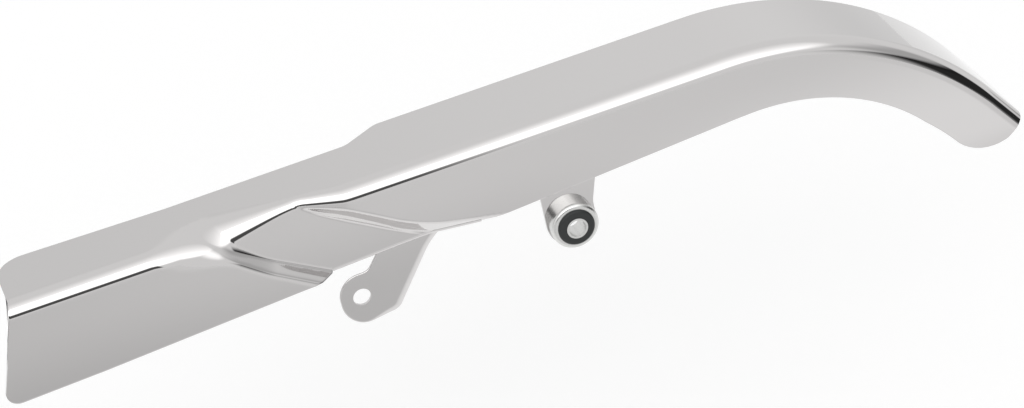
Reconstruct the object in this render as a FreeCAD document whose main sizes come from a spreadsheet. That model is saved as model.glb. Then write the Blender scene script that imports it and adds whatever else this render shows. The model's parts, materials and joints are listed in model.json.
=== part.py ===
# Motorcycle belt guard: a bent chrome sheet with a front bolt tab and a rear rubber-bushed ear.
# Millimetres. X runs to the rear, -Y faces outward, Z is up.
# Sizes are first laid out from the front end of the top bend, then every piece is moved
# so that the origin sits in the middle of the rear bush.
import FreeCAD, Part
import Sketcher
import math
import os

V = FreeCAD.Vector
doc = FreeCAD.newDocument("belt_guard")
sheet = doc.addObject("Spreadsheet::Sheet", "Sizes")


class Size:
    """A number that remembers the spreadsheet formula it comes from."""

    def __init__(self, number, formula):
        self.number = float(number)
        self.formula = formula

    def joined(self, sign, other, number):
        return Size(number, "(" + self.formula + sign + as_size(other).formula + ")")

    def __add__(self, other):
        return self.joined(" + ", other, self.number + as_size(other).number)

    def __radd__(self, other):
        return as_size(other) + self

    def __sub__(self, other):
        return self.joined(" - ", other, self.number - as_size(other).number)

    def __rsub__(self, other):
        return as_size(other) - self

    def __mul__(self, other):
        return self.joined(" * ", other, self.number * as_size(other).number)

    def __rmul__(self, other):
        return as_size(other) * self

    def __truediv__(self, other):
        return self.joined(" / ", other, self.number / as_size(other).number)

    def __neg__(self):
        return 0 - self


def as_size(value):
    if isinstance(value, Size):
        return value
    return Size(value, "(" + repr(float(value)) + ")")


def trig(name, angle):
    number = getattr(math, name)(math.radians(angle.number))
    return Size(number, name + "(" + angle.formula + " * 1 deg)")


def sin(angle):
    return trig("sin", angle)


def cos(angle):
    return trig("cos", angle)


def tan(angle):
    return trig("tan", angle)


def size(alias, number, meaning):
    """Write one size into the spreadsheet and hand it back."""
    size.row += 1
    row = str(size.row)
    sheet.set("A" + row, meaning)
    sheet.set("B" + row, repr(float(number)))
    sheet.setAlias("B" + row, alias)
    return Size(number, "Sizes." + alias)


size.row = 0

# Sheet and main bend
sheet_thick = size("sheet_thick", 1.9, "thickness of the sheet")
bend_r = size("bend_r", 10, "outer radius of the bend between top plate and skirt")

# Rear curve of the top plate
curve_start = size("curve_start", 413, "where the top plate starts to curve down")
curve_r = size("curve_r", 199, "radius of the top plate's rear curve")
curve_turn = size("curve_turn", 54, "angle the rear curve turns through, degrees")
tail_run = size("tail_run", 25.6, "straight run after the rear curve")
top_corner = curve_start + curve_r * tan(curve_turn / 2)
tail_length = curve_r * tan(curve_turn / 2) + tail_run

# Lower edge of the rear skirt
hem_corner_x = size("hem_corner_x", 485.9, "meeting point of the two lower edges, rearward")
hem_corner_z = size("hem_corner_z", 34.7, "meeting point of the two lower edges, down")
hem_slope = size("hem_slope", 3.47, "slope of the rear skirt's lower edge, degrees")
hem_turn = size("hem_turn", 49, "slope of the tongue's lower edge, degrees")
hem_r = size("hem_r", 130, "curve between the two lower edges")
tongue_r = size("tongue_r", 25, "rounding of the rear tongue")

# Front skirt
front_lean = size("front_lean", 18.6, "lean of the front edge from upright, degrees")
front_low_z = size("front_low_z", 59.9, "lower front corner, down")
front_low_slope = size("front_low_slope", 2.8, "slope of the front lower edge, degrees")
front_corner_r = size("front_corner_r", 7, "rounding of the lower front corner")
front_upright = size("front_upright", 2.5, "upright part of the front edge under the top plate")
front_inset = size("front_inset", 1.6, "top plate's front end behind the bend")

# Top plate seen from above
front_width = size("front_width", 49.2, "width of the top plate at its front corner")
waist_x = size("waist_x", 100, "narrowest place, rearward")
waist_width = size("waist_width", 45.8, "width at the narrowest place")
plan_corner_r = size("plan_corner_r", 17, "rounding of the front inboard corner")
jog_start = size("jog_start", 205.5, "start of the step in the inboard edge")
jog_end = size("jog_end", 226, "end of the step in the inboard edge")
jog_width = size("jog_width", 47.2, "width just ahead of the step")
rear_width = size("rear_width", 59.2, "width just behind the step")
rear_flare = size("rear_flare", 0.45, "widening towards the rear, degrees")
jog_r = size("jog_r", 10, "rounding of the step")

# Pressed-in facet
fold_x = size("fold_x", 113.1, "a point on the ledge's fold, rearward")
fold_z = size("fold_z", 18.1, "a point on the ledge's fold, down")
fold_turn = size("fold_turn", 33.4, "slope of the fold and of the stepped wall, degrees")
ledge_run = size("ledge_run", 0.83, "ledge width for each millimetre of depth")
ledge_top_run = size("ledge_top_run", 3.3, "ledge width for each millimetre of depth at its top")
fold_knee_x = size("fold_knee_x", 136, "where the ledge starts to widen upward")
facet_front_y = size("facet_front_y", 6.6, "depth of the facet at its front end")
facet_rear_y = size("facet_rear_y", 9.2, "depth of the facet at its rear end")
facet_front_x = size("facet_front_x", 111, "front end of the facet")
facet_tip_x = size("facet_tip_x", 168, "upper corner of the facet")
facet_rear_x = size("facet_rear_x", 215, "rear end of the facet")
roll_front_r = size("roll_front_r", 15, "facet's top rounding at its front end")
roll_tip_r = size("roll_tip_r", 6.5, "facet's top rounding at the upper corner")
facet_low_z = size("facet_low_z", 51.4, "lower edge of the facet below the fold, down")
facet_low_x = size("facet_low_x", 155.6, "lower edge of the facet below the fold, rearward")
open_edge_x = size("open_edge_x", 174.5, "where the cut lower edge turns into a rolled one")
facet_edge_r = size("facet_edge_r", 2.4, "rolled lower edge of the facet")
facet_drop = size("facet_drop", 0.9, "rolled edge below the line of the cut edge")
ramp_x = size("ramp_x", 190, "where the skirt is back at full width")
wall_x = size("wall_x", 229.7, "lower end of the stepped wall, rearward")
wall_z = size("wall_z", 37.3, "lower end of the stepped wall, down")
wall_foot_x = size("wall_foot_x", 262, "end of the wall at the rear skirt's edge")
wall_foot_z = size("wall_foot_z", 45, "height of the wall's end, down")
facet_reach = size("facet_reach", 14, "depth to which the facet's walls are carried")
land_width = size("land_width", 2.2, "width of the land between the two wall steps")
land_step = size("land_step", 2.2, "depth of the second wall step")

# Front bolt tab
tab_y = size("tab_y", 12.5, "depth of the tab's face")
tab_low_z = size("tab_low_z", 93.3, "lower end of the tab")
tab_side_x = size("tab_side_x", 207.8, "lower rear corner of the tab")
tab_side_turn = size("tab_side_turn", 53.7, "slope of the tab's rear side, degrees")
tab_corner_r = size("tab_corner_r", 8, "rounding of the tab's lower rear corner")
tab_throat_r = size("tab_throat_r", 40, "rounding from the tab's side into the skirt")
throat_drop = size("throat_drop", 2.4, "lower edge behind the tab, below the facet's edge line")
tab_lap = size("tab_lap", 14, "how far the tab's sheet reaches up behind the facet")
throat_rise = size("throat_rise", 4.6, "rise of the lower edge between the tab and the rear skirt")
tab_roll_r = size("tab_roll_r", 6, "rolled edge of the tab")
tab_front_x = size("tab_front_x", 175.4, "front side of the tab")
tab_neck_x = size("tab_neck_x", 202.1, "where the tab's front side leaves the facet's edge")
tab_neck_low_x = size("tab_neck_low_x", 194.5, "inner corner above the tab's nose, rearward")
tab_neck_z = size("tab_neck_z", 60.7, "top of the tab's nose, down")
tab_neck_r = size("tab_neck_r", 6.6, "rounding of the inner corner above the nose")
tab_nose_r = size("tab_nose_r", 13.2, "rounding of the tab's front side")
tab_heel_r = size("tab_heel_r", 16, "rounding of the tab's lower front corner")
tab_hole_x = size("tab_hole_x", 187.9, "bolt hole, rearward")
tab_hole_z = size("tab_hole_z", 75.4, "bolt hole, down")
tab_hole_r = size("tab_hole_r", 5.2, "radius of the bolt hole")
tab_flange = size("tab_flange", 7.5, "how far the tab's rolled edge reaches inboard")

# Rear ear and bush
bush_x = size("bush_x", 311.7, "bush axis, rearward")
bush_z = size("bush_z", 67.1, "bush axis, down")
ear_thick = size("ear_thick", 2.4, "thickness of the ear")
ear_r = size("ear_r", 14.4, "radius of the ear's round end")
ear_flare = size("ear_flare", 4.5, "extra width of the ear under the skirt")
ear_lean = size("ear_lean", 0.5, "lean of the ear's front side")
ear_neck_z = size("ear_neck_z", 8, "where the ear's rear side starts to flare, above the bush")
ear_neck_run = size("ear_neck_run", 16, "height over which the ear's rear side flares")
ear_top_z = size("ear_top_z", 22, "upper end of the ear behind the skirt")
ear_top_r = size("ear_top_r", 5, "rounding of the ear's upper corners")
collar_r = size("collar_r", 13.9, "outer radius of the collar")
collar_length = size("collar_length", 8, "length of the collar")
collar_bore_r = size("collar_bore_r", 10.8, "bore of the collar")
collar_round = size("collar_round", 2.2, "rounding of the collar's front rim")
rubber_round = size("rubber_round", 1.5, "rounding of the rubber's rims")
rubber_front = size("rubber_front", 1.6, "rubber standing out of the collar")
rubber_back = size("rubber_back", 0.4, "rubber standing out behind the ear")
sleeve_r = size("sleeve_r", 6.2, "outer radius of the sleeve")
sleeve_bore_r = size("sleeve_bore_r", 5.1, "bore of the sleeve")
sleeve_front = size("sleeve_front", 8.1, "sleeve's front face ahead of the skirt face")
sleeve_length = size("sleeve_length", 13, "length of the sleeve")

doc.recompute()

# Room left around the part for the shapes that trim it
MARGIN = 40.0
FAR = 170.0
DEEP = 85.0
ABOVE = 10.0
FRONT_ROOM = 6.0
FOOT_DROP = 2.0
RAMP_OVER = 1.0
RAMP_DROP = 5.0
PLAN_ROOM = 0.3
TRIM_RUN = 70.0
ROOF_DROP = 16.0

# A full half circle is drawn a touch short, so that its two ends keep a line between them
ALMOST = 0.997

# Share of the sheet's thickness by which an inner edge of a 45 degree wall moves
SPREAD = 0.414

AXES = {"XY": "XY_Plane", "XZ": "XZ_Plane", "YZ": "YZ_Plane"}


def new_body(name):
    return doc.addObject("PartDesign::Body", name)


def round_corners(corners):
    """Points where each corner's rounding starts and ends."""
    ends = []
    count = len(corners)
    for i in range(count):
        here = V(corners[i][0].number, corners[i][1].number, 0)
        before = V(corners[i - 1][0].number, corners[i - 1][1].number, 0)
        after = V(corners[(i + 1) % count][0].number, corners[(i + 1) % count][1].number, 0)
        radius = corners[i][2]
        if radius is None:
            ends.append((here, here, None))
            continue
        back = (before - here).normalize()
        ahead = (after - here).normalize()
        half = back.getAngle(ahead) / 2
        reach = radius.number / math.tan(half)
        middle = here + (back + ahead).normalize() * (radius.number / math.sin(half))
        ends.append((here + back * reach, here + ahead * reach, middle))
    return ends


def place_point(sketch, geometry, point, x, y):
    """Tie one sketch point to the origin with two formulas."""
    for kind, value in (("DistanceX", x), ("DistanceY", y)):
        index = sketch.addConstraint(
            Sketcher.Constraint(kind, -1, 1, geometry, point, value.number))
        sketch.setExpression("Constraints[" + str(index) + "]", value.formula)


def add_outline(sketch, corners):
    """Closed outline through corners (x, y, radius), a radius of None staying sharp."""
    corners = [(as_size(c[0]), as_size(c[1]), c[2] if len(c) > 2 else None) for c in corners]
    ends = round_corners(corners)
    count = len(corners)
    lines = []
    for i in range(count):
        segment = Part.LineSegment(ends[i][1], ends[(i + 1) % count][0])
        lines.append(sketch.addGeometry(segment, False))
    for i in range(count):
        line_in = lines[i - 1]
        line_out = lines[i]
        x, y, radius = corners[i]
        start, end, middle = ends[i]
        if radius is None:
            sketch.addConstraint(Sketcher.Constraint("Coincident", line_in, 2, line_out, 1))
            place_point(sketch, line_out, 1, x, y)
            continue
        turn = (start - middle).cross(end - middle).z
        circle = Part.Circle(middle, V(0, 0, 1), (start - middle).Length)
        first, last = (start, end) if turn > 0 else (end, start)
        arc = sketch.addGeometry(
            Part.ArcOfCircle(circle, circle.parameter(first), circle.parameter(last)), False)
        near, away = (1, 2) if turn > 0 else (2, 1)
        sketch.addConstraint(Sketcher.Constraint("Tangent", line_in, 2, arc, near))
        sketch.addConstraint(Sketcher.Constraint("Tangent", line_out, 1, arc, away))
        index = sketch.addConstraint(Sketcher.Constraint("Radius", arc, radius.number))
        sketch.setExpression("Constraints[" + str(index) + "]", radius.formula)
        point = sketch.addGeometry(Part.Point(V(x.number, y.number, 0)), True)
        place_point(sketch, point, 1, x, y)
        sketch.addConstraint(Sketcher.Constraint("PointOnObject", point, 1, line_in))
        sketch.addConstraint(Sketcher.Constraint("PointOnObject", point, 1, line_out))


def new_sketch(body, name, plane, offset):
    """Sketch on one of the body's own planes, moved along the plane's normal."""
    sketch = body.newObject("Sketcher::SketchObject", name)
    origin = body.Origin.OriginFeatures
    base = [item for item in origin if getattr(item, "Role", "") == AXES[plane]][0]
    sketch.AttachmentSupport = [(base, "")]
    sketch.MapMode = "FlatFace"
    sketch.setExpression("AttachmentOffset.Base.z", as_size(offset).formula)
    return sketch


def add_pad(body, sketch, name, length, reverse):
    pad = body.newObject("PartDesign::Pad", name)
    pad.Profile = sketch
    pad.Reversed = reverse
    pad.setExpression("Length", as_size(length).formula)
    sketch.Visibility = False
    return pad


def side_pad(name, corners, start_y, depth):
    """Pad a side-view outline inboard from a given depth."""
    body = new_body(name)
    sketch = new_sketch(body, name + "_outline", "XZ", 0 - as_size(start_y))
    add_outline(sketch, corners)
    add_pad(body, sketch, name + "_pad", depth, True)
    doc.recompute()
    return body


def side_loft(name, levels):
    """Straight walls between side-view outlines at several depths."""
    body = new_body(name)
    sketches = []
    for number, (start_y, corners) in enumerate(levels):
        sketch = new_sketch(body, name + "_level" + str(number), "XZ", 0 - as_size(start_y))
        add_outline(sketch, corners)
        sketches.append(sketch)
    return add_loft(body, name, sketches)


def cross_loft(name, sections):
    """Straight-lined solid between cross sections at several places along the guard."""
    body = new_body(name)
    sketches = []
    for number, (x, corners) in enumerate(sections):
        sketch = new_sketch(body, name + "_section" + str(number), "YZ", x)
        add_outline(sketch, corners)
        sketches.append(sketch)
    return add_loft(body, name, sketches)


def add_loft(body, name, sketches):
    doc.recompute()
    loft = body.newObject("PartDesign::AdditiveLoft", name + "_loft")
    loft.Profile = sketches[0]
    loft.Sections = sketches[1:]
    loft.Ruled = True
    for sketch in sketches:
        sketch.Visibility = False
    doc.recompute()
    return body


def edges_where(shape, test):
    names = []
    for number, edge in enumerate(shape.Edges, 1):
        box = edge.BoundBox
        middle = edge.valueAt((edge.FirstParameter + edge.LastParameter) / 2)
        if test(middle, box):
            names.append("Edge" + str(number))
    return names


def add_fillet(body, name, test, radius):
    """Round the edges of the body's newest feature that pass the test."""
    base = body.Tip
    fillet = body.newObject("PartDesign::Fillet", name)
    fillet.Base = (base, edges_where(base.Shape, test))
    fillet.setExpression("Radius", as_size(radius).formula)
    doc.recompute()
    return fillet


def join(kind, name, members):
    result = doc.addObject("Part::" + kind, name)
    if kind == "Cut":
        result.Base = members[0]
        result.Tool = members[1]
    else:
        result.Shapes = members
    doc.recompute()
    return result


def low_edge(x):
    """Height of the lower edge between the fold and the rear skirt."""
    foot_z = 0 - hem_corner_z - (hem_corner_x - wall_foot_x) * tan(hem_slope)
    return (x - facet_low_x) * ((foot_z + facet_low_z) / (wall_foot_x - facet_low_x)) - facet_low_z


def blank(name, inset):
    """The guard without its facet: top plate, bend, skirt and lower edges."""
    corner = curve_start + (curve_r - inset) * tan(curve_turn / 2)
    corners = [
        (0 - MARGIN, 0 - inset),
        (corner, 0 - inset, curve_r - inset),
        (corner + FAR * cos(curve_turn), 0 - inset - FAR * sin(curve_turn)),
        (hem_corner_x + FAR * cos(hem_turn), 0 - hem_corner_z - FAR * sin(hem_turn)),
        (hem_corner_x, inset - hem_corner_z, hem_r),
        (wall_foot_x, low_edge(wall_foot_x) + inset),
        (open_edge_x, low_edge(open_edge_x) + inset),
        (open_edge_x, as_size(0 - FAR)),
        (as_size(0 - MARGIN), as_size(0 - FAR)),
    ]
    body = side_pad(name, corners, inset, DEEP)
    face = as_size(inset).number

    def on_bend(middle, box):
        return abs(box.YMax - face) < 0.01 and abs(box.ZMin + face) < 0.01

    add_fillet(body, name + "_bend", on_bend, bend_r - inset)
    return body


def wall_top_x(height):
    """Where the upper wall line passes a given height."""
    return wall_x - (wall_z + height) / tan(fold_turn)


def opening(name, inset, land):
    """Room pressed out of the skirt, with the ledge in front and a sloping wall behind."""
    spread = inset * SPREAD
    along = sin(fold_turn)
    across = cos(fold_turn)
    slant = tan(fold_turn)
    fold_top_x = fold_x - (ABOVE + fold_z) / slant
    fold_end_x = fold_x + as_size(FAR) / slant
    fold_end_z = fold_z + FAR
    fold_knee_z = fold_z + (fold_knee_x - fold_x) * slant

    def level(y):
        low = y * ledge_run - spread
        high = y * ledge_top_run - spread
        ahead = spread - y
        wall = wall_x + ahead * along
        wall_level = ahead * across - wall_z
        land_x = as_size(land) / along
        return [
            (fold_top_x + high * along, ABOVE + high * across),
            (fold_knee_x + low * along, low * across - fold_knee_z),
            (fold_end_x + low * along, low * across - fold_end_z),
            (wall_foot_x + FAR, low * across - fold_end_z),
            (wall_foot_x + MARGIN, ahead - hem_corner_z - MARGIN / 2),
            (wall_foot_x + spread, ahead - wall_foot_z),
            (wall, wall_level),
            (wall_top_x(ABOVE) - land_x + ahead / along, as_size(ABOVE)),
        ]

    outside = as_size(0) + inset - FRONT_ROOM
    return side_loft(name, [
        (outside, level(as_size(0))),
        (as_size(inset), level(as_size(0))),
        (facet_reach + inset, level(facet_reach))])


def section(inset, x, y, radius, low):
    """Rounded top and rolled lower edge of a block behind the facet."""
    face = as_size(y) + inset
    return (x, [
        (face, as_size(0) - inset, radius - inset),
        (face, low, facet_edge_r - inset),
        (as_size(DEEP), low),
        (as_size(DEEP), as_size(0) - inset),
    ])


def facet_block(name, inset, raised):
    """Solid behind the facet."""
    slope_y = (facet_rear_y - facet_front_y) / (facet_rear_x - facet_front_x)
    slope_r = (roll_front_r - roll_tip_r) / (facet_tip_x - facet_front_x)
    first = facet_front_x - MARGIN
    last = facet_rear_x + 2 * MARGIN
    tip_y = facet_front_y + (facet_tip_x - facet_front_x) * slope_y

    def low(x):
        return low_edge(x) - facet_drop + inset

    return cross_loft(name, [
        section(inset, first, facet_front_y - raised - MARGIN * slope_y,
                roll_front_r + MARGIN * slope_r, low(first)),
        section(inset, facet_tip_x, tip_y - raised, roll_tip_r, low(facet_tip_x)),
        section(inset, facet_rear_x, facet_rear_y - raised, roll_tip_r, low(facet_rear_x)),
        section(inset, last, facet_rear_y - raised, roll_tip_r, low(last)),
    ])


def ramp_block(name, inset):
    """Solid behind the ramp that brings the bend back to full width."""
    slope_y = (facet_rear_y - facet_front_y) / (facet_rear_x - facet_front_x)
    tip_y = facet_front_y + (facet_tip_x - facet_front_x) * slope_y
    low = 0 - wall_z - MARGIN
    run = ramp_x - facet_tip_x
    last = ramp_x + run
    return cross_loft(name, [
        section(inset, facet_tip_x - run, 2 * (tip_y - land_step), 2 * roll_tip_r - bend_r, low),
        section(inset, ramp_x, as_size(0), bend_r, low),
        section(inset, last, as_size(0) - RAMP_OVER, bend_r, low),
    ])


def ramp_opening(name, inset):
    """Room over the ramp, from the facet's upper corner back to full width."""
    low_front = 0 - wall_z + (wall_x - facet_tip_x) * tan(fold_turn) - RAMP_DROP
    low_rear = 0 - wall_z + (wall_x - ramp_x) * tan(fold_turn) - RAMP_DROP
    corners = [
        (facet_tip_x, as_size(ABOVE)),
        (facet_tip_x, low_front),
        (ramp_x, low_rear),
        (ramp_x, as_size(ABOVE)),
    ]
    return side_pad(name, corners, as_size(0) + inset - FRONT_ROOM, 2 * FRONT_ROOM + DEEP)


def tab_block(name, inset):
    """Solid behind the bolt tab, with its rolled lower and rear edges."""
    side = tab_side_x - inset * tan(tab_side_turn / 2)
    throat_z = low_edge(wall_foot_x) - throat_drop
    throat_x = tab_side_x + (tab_low_z + throat_z) / tan(tab_side_turn)
    corners = [
        (facet_low_x, inset - tab_low_z),
        (side, inset - tab_low_z, tab_corner_r - inset),
        (throat_x - inset * tan(tab_side_turn / 2), throat_z + inset, tab_throat_r + inset),
        (wall_foot_x, throat_z + inset + throat_rise),
        (wall_foot_x, throat_z + tab_lap),
        (facet_low_x, throat_z + tab_lap),
    ]
    body = side_pad(name, corners, tab_y + inset, DEEP)
    face = tab_y.number + as_size(inset).number

    def on_side(middle, box):
        sloping = box.XLength > 5 and box.ZLength > 10
        return abs(box.YMax - face) < 0.01 and sloping and middle.x > tab_hole_x.number

    add_fillet(body, name + "_roll", on_side, tab_roll_r - inset)
    return body


def pressed_form(name, inset):
    """Outer or inner surface of the whole sheet as a solid."""
    main = blank(name + "_blank", inset)
    wide = opening(name + "_opening", inset, as_size(0))
    narrow = opening(name + "_inner_opening", inset, land_width)
    over_ramp = ramp_opening(name + "_ramp_opening", inset)
    ramp = ramp_block(name + "_ramp", inset)
    land = facet_block(name + "_land", inset, land_step)
    facet = facet_block(name + "_facet", inset, as_size(0))
    tab = tab_block(name + "_tab", inset)
    first = join("Cut", name + "_cut1", [wide, land])
    second = join("Cut", name + "_cut2", [narrow, facet])
    third = join("Cut", name + "_cut3", [over_ramp, ramp])
    pressed = join("Cut", name + "_pressed1", [main, first])
    pressed = join("Cut", name + "_pressed2", [pressed, second])
    pressed = join("Cut", name + "_pressed3", [pressed, third])
    return join("MultiFuse", name, [pressed, tab])


def side_view():
    """Everything the finished sheet may cover, seen from the side."""
    lean = tan(front_lean)
    end_x = top_corner + tail_length * cos(curve_turn)
    end_z = 0 - tail_length * sin(curve_turn)
    gap = (end_x - hem_corner_x) * sin(hem_turn) + (end_z + hem_corner_z) * cos(hem_turn)
    back = gap / cos(curve_turn - hem_turn)
    low_x = front_inset - front_low_z * lean
    low_end_z = (facet_low_x - low_x) * tan(front_low_slope) - front_low_z
    clear = facet_drop + 0.5
    corners = [
        (front_inset, as_size(MARGIN)),
        (front_inset, 0 - front_upright),
        (low_x, 0 - front_low_z, front_corner_r),
        (facet_low_x, low_end_z),
        (open_edge_x, low_edge(open_edge_x)),
        (open_edge_x, low_edge(open_edge_x) - clear),
        (tab_neck_x, low_edge(tab_neck_x) - clear),
        (tab_neck_low_x, 0 - tab_neck_z, tab_neck_r),
        (tab_front_x, 0 - tab_neck_z, tab_nose_r),
        (tab_front_x, 0 - tab_low_z, tab_heel_r),
        (tab_side_x + tab_heel_r, 0 - tab_low_z),
        (wall_foot_x, 0 - tab_hole_z),
        (hem_corner_x, 0 - tab_hole_z),
        (hem_corner_x + MARGIN, 0 - hem_corner_z - 2 * MARGIN),
        (hem_corner_x + TRIM_RUN * cos(hem_turn), 0 - hem_corner_z - TRIM_RUN * sin(hem_turn)),
        (end_x - back * sin(curve_turn), end_z - back * cos(curve_turn), tongue_r),
        (end_x + MARGIN * sin(curve_turn), end_z + MARGIN * cos(curve_turn)),
        (end_x + MARGIN * sin(curve_turn), as_size(MARGIN)),
    ]
    return side_pad("side_view", corners, as_size(0 - MARGIN), 4 * MARGIN)


def plan_view():
    """Everything the finished sheet may cover, seen from above."""
    body = new_body("plan_view")
    sketch = new_sketch(body, "plan_view_outline", "XY", as_size(0 - FAR))
    skirt = sheet_thick + PLAN_ROOM
    far_x = top_corner + FAR
    add_outline(sketch, [
        (as_size(0 - MARGIN), as_size(0 - MARGIN)),
        (far_x, as_size(0 - MARGIN)),
        (far_x, rear_width + (far_x - jog_end) * tan(rear_flare)),
        (jog_end, rear_width, jog_r),
        (jog_start, jog_width, jog_r),
        (waist_x, waist_width),
        (front_inset, front_width, plan_corner_r),
        (front_inset, skirt),
        (as_size(0 - MARGIN), skirt),
    ])
    add_pad(body, sketch, "plan_view_pad", FAR + MARGIN, False)
    doc.recompute()
    return body


def box_cut(name, low_x, high_x, low_y, low_z, high_z):
    """Box reaching inboard, for clearing what a pressed sheet doesn't have."""
    box = doc.addObject("Part::Box", name)
    box.setExpression("Placement.Base.x", as_size(low_x).formula)
    box.setExpression("Placement.Base.y", as_size(low_y).formula)
    box.setExpression("Placement.Base.z", as_size(low_z).formula)
    box.setExpression("Length", (high_x - low_x).formula)
    box.setExpression("Width", as_size(2 * DEEP).formula)
    box.setExpression("Height", (high_z - low_z).formula)
    return box


def rear_clearance():
    """Inside of the rear skirt, below the top plate."""
    head = as_size(ROOF_DROP)
    corner = curve_start + (curve_r - head) * tan(curve_turn / 2)
    corners = [
        (wall_foot_x, as_size(0 - head)),
        (corner, as_size(0 - head), curve_r - head),
        (corner + 2 * FAR * cos(curve_turn), 0 - head - 2 * FAR * sin(curve_turn)),
        (wall_foot_x, 0 - head - 2 * FAR * sin(curve_turn)),
    ]
    return side_pad("rear_clearance", corners, sheet_thick, 2 * DEEP)


def bolt_hole():
    hole = doc.addObject("Part::Cylinder", "tab_hole")
    hole.Placement = FreeCAD.Placement(V(0, 0, 0), FreeCAD.Rotation(V(1, 0, 0), -90))
    hole.setExpression("Placement.Base.x", tab_hole_x.formula)
    hole.setExpression("Placement.Base.z", (0 - tab_hole_z).formula)
    hole.setExpression("Radius", tab_hole_r.formula)
    hole.Height = DEEP
    return hole


def guard_shell():
    outer = pressed_form("outer", as_size(0))
    inner = pressed_form("inner", sheet_thick)
    sheet_form = join("Cut", "sheet_form", [outer, inner])
    front_x = as_size(0 - 2 * MARGIN)
    floor = as_size(0 - 2 * FAR)
    roof = as_size(0 - ROOF_DROP)
    flange = box_cut("flange_clearance", front_x, wall_foot_x + 1, tab_y + tab_flange, floor, roof)
    lip = box_cut("lip_clearance", front_x, tab_neck_low_x, tab_y, 0 - facet_low_z - facet_drop, roof)
    clearing = join("MultiFuse", "clearing", [rear_clearance(), flange, lip, bolt_hole()])
    cleared = join("Cut", "cleared", [sheet_form, clearing])
    return join("MultiCommon", "guard_shell", [cleared, side_view(), plan_view()])


def round_pad(name, start_y, length, radius, bore):
    """Ring around the bush axis, drawn in the side view."""
    body = new_body(name)
    sketch = new_sketch(body, name + "_outline", "XZ", 0 - as_size(start_y))
    for value in (radius, bore):
        ring = sketch.addGeometry(
            Part.Circle(V(bush_x.number, -bush_z.number, 0), V(0, 0, 1), value.number), False)
        place_point(sketch, ring, 3, bush_x, 0 - bush_z)
        index = sketch.addConstraint(Sketcher.Constraint("Radius", ring, value.number))
        sketch.setExpression("Constraints[" + str(index) + "]", value.formula)
    add_pad(body, sketch, name + "_pad", length, True)
    doc.recompute()
    return body


def rim_at(y, radius):
    def test(middle, box):
        level = abs(box.YMax - y) < 0.01 and box.YLength < 0.01
        return level and abs(box.XLength - 2 * radius) < 0.01
    return test


def rear_ear():
    """Plate on the skirt's inner face that carries the bush."""
    body = new_body("rear_ear")
    sketch = new_sketch(body, "ear_outline", "XZ", 0 - sheet_thick)
    add_outline(sketch, [
        (bush_x - ear_r - ear_lean, 0 - ear_top_z, ear_top_r),
        (bush_x - ear_r, 0 - bush_z - ear_r, ear_r * ALMOST),
        (bush_x + ear_r, 0 - bush_z - ear_r, ear_r * ALMOST),
        (bush_x + ear_r, ear_neck_z - bush_z, ear_r),
        (bush_x + ear_r + ear_flare, ear_neck_z - bush_z + ear_neck_run, ear_r),
        (bush_x + ear_r + ear_flare, 0 - ear_top_z, ear_top_r),
    ])
    ring = sketch.addGeometry(
        Part.Circle(V(bush_x.number, -bush_z.number, 0), V(0, 0, 1), collar_bore_r.number), False)
    place_point(sketch, ring, 3, bush_x, 0 - bush_z)
    index = sketch.addConstraint(Sketcher.Constraint("Radius", ring, collar_bore_r.number))
    sketch.setExpression("Constraints[" + str(index) + "]", collar_bore_r.formula)
    add_pad(body, sketch, "ear_pad", ear_thick, True)
    doc.recompute()
    return body


def bush_collar():
    body = round_pad("bush_collar", sheet_thick - collar_length, collar_length, collar_r, collar_bore_r)
    front = sheet_thick.number - collar_length.number
    add_fillet(body, "collar_round", rim_at(front, collar_r.number), collar_round)
    return body


def rubber_bush():
    front = sheet_thick - collar_length - rubber_front
    back = sheet_thick + ear_thick + rubber_back
    body = round_pad("rubber_bush", front, back - front, collar_bore_r, sleeve_r)
    add_fillet(body, "rubber_round", rim_at(front.number, collar_bore_r.number), rubber_round)
    return body


def bush_sleeve():
    return round_pad("bush_sleeve", 0 - sleeve_front, sleeve_length, sleeve_r, sleeve_bore_r)


pieces = [guard_shell(), rear_ear(), bush_collar(), rubber_bush(), bush_sleeve()]

# Move every piece so that the middle of the sleeve is the origin
for piece in pieces:
    piece.Label = piece.Name
    piece.setExpression("Placement.Base.x", (0 - bush_x).formula)
    piece.setExpression("Placement.Base.y", (sleeve_front - sleeve_length / 2).formula)
    piece.setExpression("Placement.Base.z", bush_z.formula)
doc.recompute()

# Nothing is written unless every object built properly
for item in doc.Objects:
    if "Invalid" in item.State or "Error" in item.State:
        raise RuntimeError(item.Name + " did not build")
    if hasattr(item, "Shape") and item.TypeId.startswith(("Part::", "PartDesign::")):
        if item.Shape.isNull() or not item.Shape.isValid():
            raise RuntimeError(item.Name + " has no valid shape")

os.makedirs("parts", exist_ok=True)
for piece in pieces:
    if len(piece.Shape.Solids) != 1:
        raise RuntimeError(piece.Name + " is not one solid")
    piece.Shape.exportStep("parts/" + piece.Label + ".step")
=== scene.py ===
# Looks of the chrome belt guard: materials, the smooth pressed sheet, studio and camera.
import json
import math
import bpy
import numpy as np
from mathutils import Matrix, Vector
from mathutils.geometry import delaunay_2d_cdt

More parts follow.
